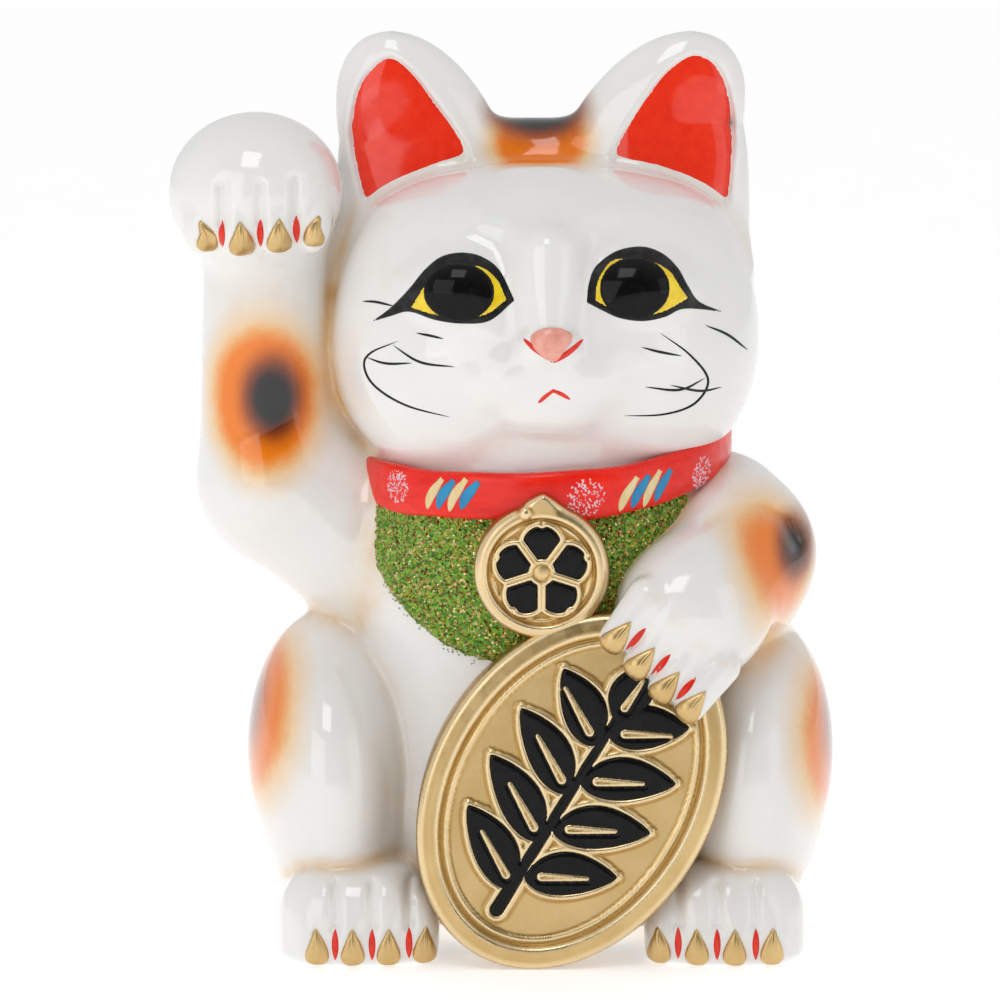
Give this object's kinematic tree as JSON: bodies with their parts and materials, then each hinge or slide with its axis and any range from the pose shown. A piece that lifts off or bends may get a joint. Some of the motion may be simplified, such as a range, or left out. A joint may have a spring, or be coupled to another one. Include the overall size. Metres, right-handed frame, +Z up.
{
  "type": "beckoning cat figurine",
  "caption": "Seated glazed pottery cat with one paw raised and the other holding an oval gold plate; red collar, round medallion, glitter bib, coin slot at the back of the head.",
  "frame": {"origin": "on the plane of the foot rim, inside its ring, under the middle of the neck", "axes": "+Z up, -Y the way the cat looks, +X the cat's left"},
  "size_m": [0.1865, 0.1505, 0.25],
  "materials": {
    "white_glaze": "high gloss",
    "red_enamel": "gloss",
    "collar_red": "gloss, hand painted",
    "black_enamel": "high gloss",
    "yellow_enamel": "gloss",
    "pink_enamel": "gloss",
    "gold": "satin gilding",
    "green_glitter": "glitter coating",
    "stopper_rubber": "matt"
  },
  "bodies": {
    "cat": {"body_shell": "white_glaze", "head_shell": "white_glaze", "right_ear": "white_glaze", "left_ear": "white_glaze", "beckoning_arm": "white_glaze", "holding_arm": "white_glaze", "right_foot": "white_glaze", "left_foot": "white_glaze", "tail": "white_glaze", "collar_band": "collar_red", "bib": "green_glitter", "medallion": "gold", "medallion_motif": "black_enamel", "koban_plate": "gold", "koban_motif": "black_enamel", "beckoning_claws": "gold", "holding_claws": "gold", "right_foot_claws": "gold", "left_foot_claws": "gold", "right_eye": "black_enamel", "left_eye": "black_enamel", "right_iris": "yellow_enamel", "left_iris": "yellow_enamel", "nose_pad": "pink_enamel", "mouth_line": "red_enamel", "right_ear_lining": "red_enamel", "left_ear_lining": "red_enamel"},
    "stopper": {"base_stopper": "stopper_rubber"}
  },
  "joints": [
    {"name": "stopper_pull", "type": "slide", "parent": "cat", "child": "stopper", "axis": [0, 0, -1], "range_m": [0, 0.025]}
  ]
}
